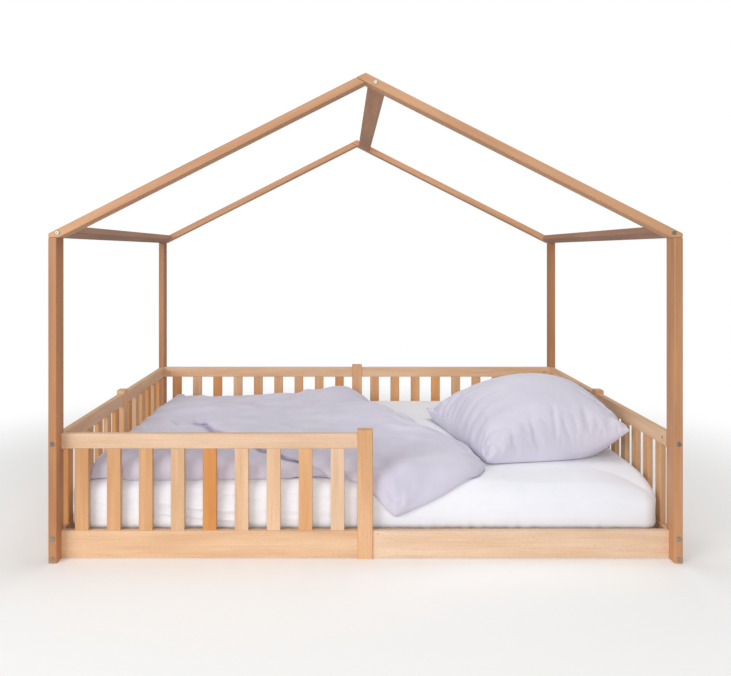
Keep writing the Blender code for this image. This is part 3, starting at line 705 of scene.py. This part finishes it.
bottom, top, edge = mat_low.z, mat_top, 0.045
core_profile = ([(d, bottom + 0.004) for d in np.linspace(HALF_Y, 0.06, 9)]
                + arc((0.045, bottom + 0.034), 0.030, -90, 0)
                + [(0.015, z) for z in np.linspace(bottom + 0.06, top - 0.08, 4)]
                + arc((0.055, top - 0.054), 0.040, 0, 90)
                + [(d, top - 0.014) for d in np.linspace(0.09, HALF_Y, 9)])
points = sag(rounded_block(core_profile, HALF_X, HALF_Y, 0.065, 240)[0])
index = np.arange(points.shape[0] * points.shape[1]).reshape(points.shape[:2])
faces = grid_faces(index, wrap=True)[:, ::-1]
ticking = cotton("ticking_cotton_quilted", "ECEAE4", "E2E0DA", 0.0008, 0.1)
core = make_piece("mattress_core", points.reshape(-1, 3), faces, ticking, "mattress")
weld(core)
print("mattress core", [round(2 * HALF_X, 3), round(2 * HALF_Y, 3)], "m")

# %% The fitted sheet
TURN_UNDER, ELASTIC = 0.08, 0.06
sheet_profile = ([(d, bottom + 0.0010) for d in np.linspace(TURN_UNDER, 0.032, 5)]
                 + arc((0.026, bottom + 0.027), 0.026, -80, 0, 7)
                 + [(0.0, z) for z in np.linspace(bottom + 0.034, top - edge - 0.006, 22)]
                 + arc((edge, top - edge - 0.001), edge, 2, 90, 12)
                 + [(d, top - 0.001) for d in edge + (HALF_Y - edge)
                    * np.linspace(0, 1, 52)[1:] ** 1.25])
points, way = rounded_block(sheet_profile, HALF_X, HALF_Y, 0.058, 780)
normal = np.cross(np.gradient(points, axis=0), np.roll(points, -1, 1) - np.roll(points, 1, 1))
normal /= np.linalg.norm(normal, axis=2, keepdims=True) + 1e-12
outward = (normal * (points - (0, 0, (bottom + top) / 2))).sum(axis=2, keepdims=True)
normal *= np.sign(outward + 1e-12)
height = (points[..., 2] - bottom) / (top - bottom)
on_side = np.clip(1 - np.abs(height - 0.42) / 0.5, 0, 1)
gather = ripples(way, 0 * way, 0.05, 3, 0, 0.2) * np.exp(-(height / 0.22) ** 2) * 0.0006
drag = 1 - np.abs(ripples(way, points[..., 2] * 2.6, 0.16, 5, math.radians(72), 0.5)) ** 0.8
patches = (np.clip(ripples(way, 0 * way, 0.9, 8), -0.2, 1) + 0.2) * 0.6
patches = patches + 3.4 * np.exp(-((points[..., 0] + 0.52) / 0.30) ** 2) * (points[..., 1] < 0)
sheet_shift = gather + drag * on_side * patches * 0.0022 - 0.0034 * on_side
calm = ripples(points[..., 0], points[..., 1], 0.38, 11) * 0.0009 - 0.0013
flat_part = height > 0.985
sheet_shift = np.where(flat_part, calm, sheet_shift)
normal = np.where(flat_part[..., None], (0.0, 0.0, 1.0), normal)
points = sag(points + normal * sheet_shift[..., None])
index = np.arange(points.shape[0] * points.shape[1]).reshape(points.shape[:2])
fitted_sheet = make_piece("fitted_sheet", points.reshape(-1, 3),
                          grid_faces(index, wrap=True)[:, ::-1], white, "mattress")
weld(fitted_sheet)
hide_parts("mattress")

# %% [markdown]
# ## Duvet
#
# The duvet lies askew, with one corner hanging over the front of the mattress. From there
# its left hem runs back across the bed and lies on a lower layer of the same duvet, which
# leaves a dark line under its lip. The rest is puffed up, thinnest at the back left and
# thickest where it is pushed together at the back. It is laid out flat first, swollen by
# the cloth solver, then folded, and last bent over the edge of the mattress.

# %% Outline of the duvet, laid flat
post_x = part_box("front_centre_post")[1].x
duvet_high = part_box("duvet")[1]
lay = mat_top + 0.0006  # the clearance between sheet and bedding
back_y = duvet_high.y - 0.004
pillow_low, pillow_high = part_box("pillow")
BEND_Y, BEND_ROUND = -HALF_Y + 0.045, 0.045
TIP = (post_x + 0.081, BEND_Y - BEND_ROUND * math.pi / 2 - 0.083)
left_x = -HALF_X + 0.050
ear_x, ear_y = duvet_high.x - 0.006, -HALF_Y + 0.122
FOLD = np.array([(-0.10, -0.70), (-0.122, -0.680), (-0.20, -0.640), (-0.30, -0.588),
                 (-0.435, -0.462), (-0.56, -0.315), (-0.64, -0.215), (-0.70, -0.13),
                 (-0.76, -0.03), (-0.84, 0.20), (-0.90, 0.68)])
fold_start = (-0.122, -0.674)
COLUMNS, ROWS, FOLD_COLUMN, TIP_COLUMNS = 124, 100, 46, 30
hem = along_points([(left_x, -0.672), (-0.80, -0.690), (-0.40, -0.686), fold_start],
                   FOLD_COLUMN + 1)
to_tip = along_points([fold_start, (-0.067, -0.682), (0.0, -0.708), (0.035, -0.735),
                       (0.068, -0.775), (0.092, -0.803), TIP], TIP_COLUMNS, 1)
from_tip = along_points([TIP, (0.16, -0.785), (0.216, -0.761), (0.284, -0.725),
                         (0.332, -0.698), (0.392, -0.660), (ear_x, ear_y)],
                        COLUMNS - FOLD_COLUMN - TIP_COLUMNS + 1, 2)
front = np.concatenate([hem, to_tip[1:], from_tip[1:]])
right = along_points([(ear_x, ear_y), (0.425, -0.42), (0.410, -0.30), (0.36, -0.19), (0.30, -0.10),
                      (0.245, -0.02), (0.20, 0.08), (0.17, 0.18), (0.128, 0.344), (0.085, 0.47),
                      (0.045, 0.58), (0.015, back_y)], ROWS)
back = along_points([(left_x - 0.005, back_y), (-0.55, back_y - 0.012), (-0.2, back_y - 0.004),
                     tuple(right[-1])], COLUMNS)
left = along_points([(left_x, -0.672), (left_x - 0.008, -0.2), (left_x + 0.004, 0.3),
                     (left_x - 0.005, back_y)], ROWS)
plan = patch(front, back, left, right)
print("duvet grid", plan.shape[:2], "about", round(float(np.ptp(plan[..., 0])), 2), "m wide")


# %% Columns that follow the fold
def crossing(line, rows_y):
    """Where the fold is, in x, at each height of y."""
    order = np.argsort(line[:, 1])
    return np.interp(rows_y, line[order, 1], line[order, 0])


# Each row's columns are shared out so that FOLD_COLUMN lies on the fold, and are drawn
# closer together near it.
share_of_fold, draw_in = FOLD_COLUMN / (COLUMNS - 1), 0.45
steady = np.linspace(0, 1, COLUMNS)
near = np.exp(-((steady - share_of_fold) / 0.05) ** 2)
laid = plan.copy()
for row in range(1, ROWS):
    line_x, line_y = plan[:, row, 0], plan[:, row, 1]
    target = steady[int(np.argmin(np.abs(line_x - crossing(FOLD, line_y))))]
    shares = np.interp(steady, [0, share_of_fold, 1], [0, target, 1])
    shares = shares + (target - shares) * draw_in * near
    laid[:, row, 0] = np.interp(shares, steady, line_x)
    laid[:, row, 1] = np.interp(shares, steady, line_y)
for _ in range(10):
    laid[1:-1, 1:-1] += 0.25 * (laid[1:-1, 2:] + laid[1:-1, :-2] - 2 * laid[1:-1, 1:-1])
X, Y = laid[..., 0], laid[..., 1]
print("fold column runs from", laid[FOLD_COLUMN, 1].round(2), "to", laid[FOLD_COLUMN, 60].round(2))


# %% Thickness of the duvet
def bump(x, y, centre, spread_x, spread_y, lean=0.0):
    """A smooth hill: exp(-(a / spread_x)^2 - (b / spread_y)^2) in axes turned by `lean`."""
    dx, dy = x - centre[0], y - centre[1]
    a = dx * math.cos(lean) + dy * math.sin(lean)
    b = dy * math.cos(lean) - dx * math.sin(lean)
    return np.exp(-(a / spread_x) ** 2 - (b / spread_y) ** 2)


def crease(x, y, start, stop, width):
    """1 on the line from start to stop, falling to 0 within `width` beside and beyond it."""
    start, stop = np.array(start), np.array(stop)
    run = stop - start
    t = ((x - start[0]) * run[0] + (y - start[1]) * run[1]) / (run @ run)
    t = np.clip(t, 0, 1)
    gap = np.hypot(x - start[0] - t * run[0], y - start[1] - t * run[1])
    return np.exp(-(gap / width) ** 2) * (0.35 + 0.65 * np.sin(math.pi * t) ** 0.6)


rim = np.concatenate([front, back, left, right])
rim_gap = edge_distance(laid, rim)
# Each hill: height, centre x and y, spread along and across, lean.
HILLS = [(0.022, -0.75, -0.58, 0.35, 0.16, 0), (-0.014, -0.20, -0.62, 0.16, 0.12, 0),
         (0.012, -0.66, -0.66, 0.36, 0.07, 0), (0.012, -0.20, 0.10, 0.40, 0.30, 0),
         (0.040, -0.05, 0.60, 0.17, 0.15, 0.3), (0.028, 0.10, -0.06, 0.20, 0.22, 0.6),
         (-0.010, 0.25, -0.56, 0.22, 0.14, 0), (-0.018, -0.60, 0.58, 0.42, 0.25, 0),
         (-0.018, 0.055, -0.56, 0.09, 0.08, 0)]
thick = np.full_like(X, 0.040)
for height, centre_x, centre_y, along, across, lean in HILLS:
    thick = thick + height * bump(X, Y, (centre_x, centre_y), along, across, lean)
thick = thick + 0.005 * ripples(X, Y, 0.42, 21) + 0.0030 * ripples(X, Y, 0.15, 22, 2.2, 1.2)
hanging = np.clip((-0.62 - Y) / 0.10, 0, 1) * np.clip((X + 0.10) / 0.1, 0, 1)
thick = thick * (1 - 0.62 * hanging)
soft_edge = np.where(X < crossing(FOLD, Y), 0.046, 0.125) * (1 - 0.45 * hanging)
depth = np.clip(rim_gap / soft_edge, 0, 1)
swelling = np.sqrt(1 - (1 - depth) ** 2)
# Each fold: from x and y, to x and y, width, height.
FOLDS = [(-0.84, -0.08, -0.74, -0.24, 0.013, 0.019), (-0.9, -0.14, -0.82, -0.34, 0.016, 0.018),
         (-0.95, -0.3, -0.9, -0.42, 0.014, 0.01), (-0.93, 0.05, -0.8, -0.02, 0.022, 0.01),
         (-0.5, 0.45, -0.1, 0.35, 0.035, 0.012), (-0.72, 0.58, -0.3, 0.62, 0.03, 0.01),
         (-0.3, 0.62, -0.22, 0.5, 0.018, 0.009), (-0.8, 0.62, -0.76, 0.48, 0.02, 0.008),
         (0.02, 0.34, 0.12, 0.06, 0.018, 0.014), (0.07, 0.3, 0.15, 0.04, 0.013, 0.011),
         (0.12, 0.04, 0.24, -0.14, 0.014, 0.008), (0.2, -0.02, 0.32, -0.2, 0.013, 0.008),
         (0.14, -0.1, 0.26, -0.3, 0.016, 0.013), (0.26, -0.2, 0.36, -0.44, 0.013, 0.007),
         (0.02, -0.36, 0.26, -0.46, 0.026, -0.01), (0.06, -0.26, 0.3, -0.36, 0.022, 0.013),
         (0.2, -0.62, 0.38, -0.52, 0.016, 0.012), (-0.03, -0.6, 0.16, -0.7, 0.018, -0.01),
         (-0.02, -0.56, 0.1, -0.62, 0.014, 0.007), (0.1, -0.7, 0.104, -0.8, 0.008, 0.016),
         (0.14, -0.71, 0.118, -0.79, 0.008, 0.013), (0.065, -0.71, 0.088, -0.78, 0.008, 0.012),
         (0.18, -0.69, 0.14, -0.76, 0.01, 0.009), (-0.42, -0.02, 0.0, -0.14, 0.04, 0.009),
         (-0.62, 0.22, -0.32, 0.1, 0.032, 0.009), (-0.45, -0.2, -0.15, -0.45, 0.03, 0.008),
         (-0.88, -0.52, -0.86, -0.66, 0.012, 0.009), (-0.8, -0.54, -0.83, -0.67, 0.01, -0.008),
         (-0.7, -0.56, -0.69, -0.67, 0.016, 0.007), (-0.52, -0.58, -0.5, -0.67, 0.012, -0.007),
         (-0.36, -0.6, -0.33, -0.67, 0.01, -0.008), (-0.24, -0.63, -0.21, -0.67, 0.012, 0.006)]
for x1, y1, x2, y2, width, rise in FOLDS:
    thick = thick + rise * crease(X, Y, (x1, y1), (x2, y2), width) * (1 - 0.4 * hanging)
top_layer = np.stack([X, Y, 0.004 + thick * swelling], axis=2)
bottom_layer = np.stack([X, Y, np.zeros_like(X)], axis=2)
top_layer[[0, -1], :, 2] = top_layer[:, [0, -1], 2] = 0.004
points, faces, held, upper = closed_pad(top_layer, bottom_layer)
PUFF = 0.022
most = np.full(len(points), PUFF)
most[upper] = PUFF * np.clip(rim_gap / 0.16, 0.12, 1)
points = swell(points, faces, held, pressure=2.5, slack=0.06, frames=16, most=most)
print("duvet", len(points), "points, top", round(float(points[:, 2].max()), 3), "m up")

# %% Fold the hem over the lower layer
# The lip's profile, as (place across the fold, height): a groove, then a hem that hangs
# back over it and rises to the upper layer.
LIP = np.array([(-0.036, 0.0), (-0.024, -0.002), (-0.012, -0.006), (0.002, -0.009),
                (0.014, -0.009), (0.019, -0.004), (0.012, 0.000), (-0.002, 0.002),
                (-0.015, 0.006), (-0.017, 0.016), (-0.004, 0.025), (0.012, 0.029),
                (0.032, 0.029)])
reach = len(LIP) // 2
sheet_points = points[upper]
line = sheet_points[FOLD_COLUMN, :, :2]
tangent = np.gradient(line, axis=0)
tangent /= np.linalg.norm(tangent, axis=1, keepdims=True)
across = np.stack([tangent[:, 1], -tangent[:, 0]], axis=1)
strength = smooth_step(-line[:, 1], 0.09, 0.18)
depth = np.clip(sheet_points[FOLD_COLUMN, :, 2] / 0.035, 0, 1)
lifted = strength * (0.5 + 0.5 * np.clip((line[:, 1] + 0.62) / 0.22, 0, 1))
for offset in range(-reach, reach + 1):
    column = FOLD_COLUMN + offset
    now = ((sheet_points[column, :, :2] - line) * across).sum(axis=1)
    slide = (LIP[offset + reach, 0] - now) * strength
    sheet_points[column, :, :2] += across * slide[:, None]
    rise = LIP[offset + reach, 1]
    sheet_points[column, :, 2] += rise * (lifted if rise > 0 else strength * depth)
beyond = np.arange(COLUMNS) - FOLD_COLUMN - reach
fade = np.where(beyond > 0, np.exp(-np.clip(beyond, 0, None) / 22.0), 0)
sheet_points[..., 2] += LIP[-1, 1] * (fade[:, None] * lifted[None, :]) * (rim_gap > 0.0)
points[upper] = sheet_points
print("fold lip", LIP[-1, 1] * 1000, "mm high over", int((strength > 0.5).sum()), "rows")


# %% Bend the duvet over the front of the mattress
def bend_over(points, lay, bend_y, radius):
    """Wrap what passes bend_y round a quarter circle and then straight down.

    A point at distance s past bend_y and height h above the sheet goes to the angle s / radius
    on the circle of radius + h, and after a quarter turn straight down.
    """
    x, y, h = points.T
    past = np.clip(bend_y - y, 0, None)
    angle = np.minimum(past / radius, math.pi / 2)
    down = np.clip(past - radius * math.pi / 2, 0, None)
    out = np.where(past > 0, bend_y - (radius + h) * np.sin(angle), y)
    z = np.where(past > 0, lay - radius + (radius + h) * np.cos(angle) - down, lay + h)
    return np.stack([x, out, z], axis=1)


points = sag(bend_over(points, lay, BEND_Y, BEND_ROUND))
duvet = make_piece("duvet_cover", points, faces, lilac, "duvet")
smooth = duvet.modifiers.new("smooth", "SUBSURF")
smooth.levels = smooth.render_levels = 1
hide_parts("duvet")
print("duvet lies from", points.min(0).round(3), "to", points.max(0).round(3))

# %% [markdown]
# ## Pillow
#
# A square feather pillow, 78 cm a side, propped against the fence on the right. Its corners
# stand out as flat ears and its sides pull in between them, because the filling shortens
# the cloth. The ear at the back left corner points at the duvet.

# %% Shape of the pillow
PILLOW_STEPS = 96
right_x = pillow_high.x - 0.004
front_y = pillow_low.y + 0.020
CORNERS = {(-1, -1): (right_x - 0.548, front_y), (-1, 1): (right_x - 0.682, front_y + 0.785),
           (1, -1): (right_x - 0.004, front_y + 0.070), (1, 1): (right_x - 0.004, front_y + 0.832)}
s = np.linspace(-1, 1, PILLOW_STEPS)
s = np.sin(s * math.pi / 2) * 0.45 + s * 0.55
U, V = np.meshgrid(s, s, indexing="ij")
PULL = 0.045  # how far the sides draw in between the corners, as a share
PU = U * (1 - PULL * (1 - V ** 4) * np.abs(U) ** 6)
PV = V * (1 - PULL * (1 - U ** 4) * np.abs(V) ** 6)
x, y = (sum((1 + a * PU) * (1 + b * PV) / 4 * corner[k] for (a, b), corner in CORNERS.items())
        for k in (0, 1))
fullness = ((1 - U ** 2) * (1 - V ** 2)) ** 0.48
ear = np.exp(-((U + 1) / 0.10) ** 2 - ((V - 1) / 0.12) ** 2)
seam = 0.018 + 0.092 * ((1 + U) / 2) ** 2 + 0.028 * ear
TALL, SEAM_LIFT = 0.222, 0.022
top_z = seam + (TALL - SEAM_LIFT) * fullness * (1 - 0.16 * (U + 0.15) ** 2)
low_z = np.maximum(0.0, seam - 0.155 * fullness)
print("pillow sides", round(math.dist(CORNERS[-1, -1], CORNERS[-1, 1]), 3), "m")

# %% Gathers at the seams and the big crease
gather_u = ripples(V, 0 * V, 0.20, 31, 0, 0.1) * np.exp(-(1 - np.abs(U)) / 0.22)
gather_v = ripples(U, 0 * U, 0.20, 32, 0, 0.1) * np.exp(-(1 - np.abs(V)) / 0.22)
top_z = top_z + (0.0065 * gather_u + 0.0018 * gather_v) * np.minimum(fullness * 2.5, 1)
# Each crease: from u and v, to u and v, depth.
BIG_CREASES = [(-0.99, -0.93, -0.94, -0.78, 0.016), (-0.94, -0.78, -0.82, -0.74, 0.016),
               (-0.82, -0.74, -0.6, -0.8, 0.014), (-0.6, -0.8, -0.1, -0.84, 0.006),
               (-0.95, 0.97, -0.93, 0.6, 0.014)]
GATHERS = [(-0.97, 0.9, -0.62, 0.42, 0.01), (-0.99, 0.62, -0.6, 0.25, 0.007),
           (-0.8, 0.97, -0.45, 0.55, 0.008), (-0.98, 0.3, -0.62, 0.1, 0.006),
           (-0.97, -0.1, -0.66, -0.12, 0.006), (-0.98, -0.45, -0.7, -0.36, 0.005),
           (-0.6, -0.98, -0.56, -0.8, 0.006), (-0.3, -0.98, -0.28, -0.78, 0.006),
           (0.0, -0.98, 0.06, -0.7, 0.005), (0.9, -0.9, 0.5, -0.4, 0.006),
           (0.9, 0.9, 0.5, 0.5, 0.006)]


def pressed(height, creases, width):
    """The height with every crease of a list pressed into it."""
    for u1, v1, u2, v2, drop in creases:
        height = height - drop * crease(U, V, (u1, v1), (u2, v2), width)
    return height


top_z = pressed(top_z, BIG_CREASES, 0.030)
top_z = top_z + 0.008 * bump(U, V, (-0.55, -0.92), 0.35, 0.07)
top_z = top_z + 0.006 * bump(U, V, (-0.5, -0.66), 0.4, 0.08)
top_z = pressed(top_z, GATHERS, 0.032)
border = np.ones_like(U, bool)
border[1:-1, 1:-1] = False
top_z = np.where(border, seam, top_z)
low_z = np.where(border, seam, low_z)
points, faces, held, upper = closed_pad(np.stack([x, y, top_z], 2), np.stack([x, y, low_z], 2))
points = swell(points, faces, held, pressure=3.0, slack=0.035, frames=16, most=0.011)
points[:, 2] = np.maximum(points[:, 2], 0.0) + lay
points[:, 0] = np.minimum(points[:, 0], pillow_high.x + 0.002)
pillow = make_piece("pillow_case", points, faces, lilac_pillow, "pillow")
smooth = pillow.modifiers.new("smooth", "SUBSURF")
smooth.levels = smooth.render_levels = 1
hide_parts("pillow")
print("pillow top at", round(float(points[:, 2].max()), 3), "m")

# %% [markdown]
# ## Base slats and floor
#
# The slats under the mattress are planed and left bare, so they are paler and duller than
# the frame. The floor is plain, and its paint fades out a few metres away, where a studio
# backdrop would curve up.

# %% Bare wood and the floor
bare, tree, shader = new_material("pine_planed_bare", 0.7)
run = placed(tree, own_place(tree), GRAIN["y"], (0.3, 0.05, 0.02))
wood, fibres = beech_colour(tree, run, linear("E8D3AE"), linear("D9BC8C"))
finish_beech(tree, shader, wood, fibres)
paint("base_slat_roll", bare)

FLOOR_HALF, FLOOR_Z = 3, -0.0005
floor_material, tree, shader = new_material("floor_painted_white", 0.75)
shader.inputs["Base Color"].default_value = linear("F8F8F7")
gone = ramp(tree, length_of(tree, own_place(tree)), 1.2, 2.7, 1.0, 0.0, "SMOOTHSTEP")
tree.links.new(gone, shader.inputs["Alpha"])
shader.inputs["Emission Color"].default_value = (1, 1, 1, 1)
shader.inputs["Emission Strength"].default_value = 0.10
mesh = bpy.data.meshes.new("studio_floor")
mesh.from_pydata([(x * FLOOR_HALF, y * FLOOR_HALF, FLOOR_Z)
                  for x, y in ((-1, -1), (1, -1), (1, 1), (-1, 1))], [], [(0, 1, 2, 3)])
mesh.materials.append(floor_material)
floor = bpy.data.objects.new("studio_floor", mesh)
bpy.context.scene.collection.objects.link(floor)
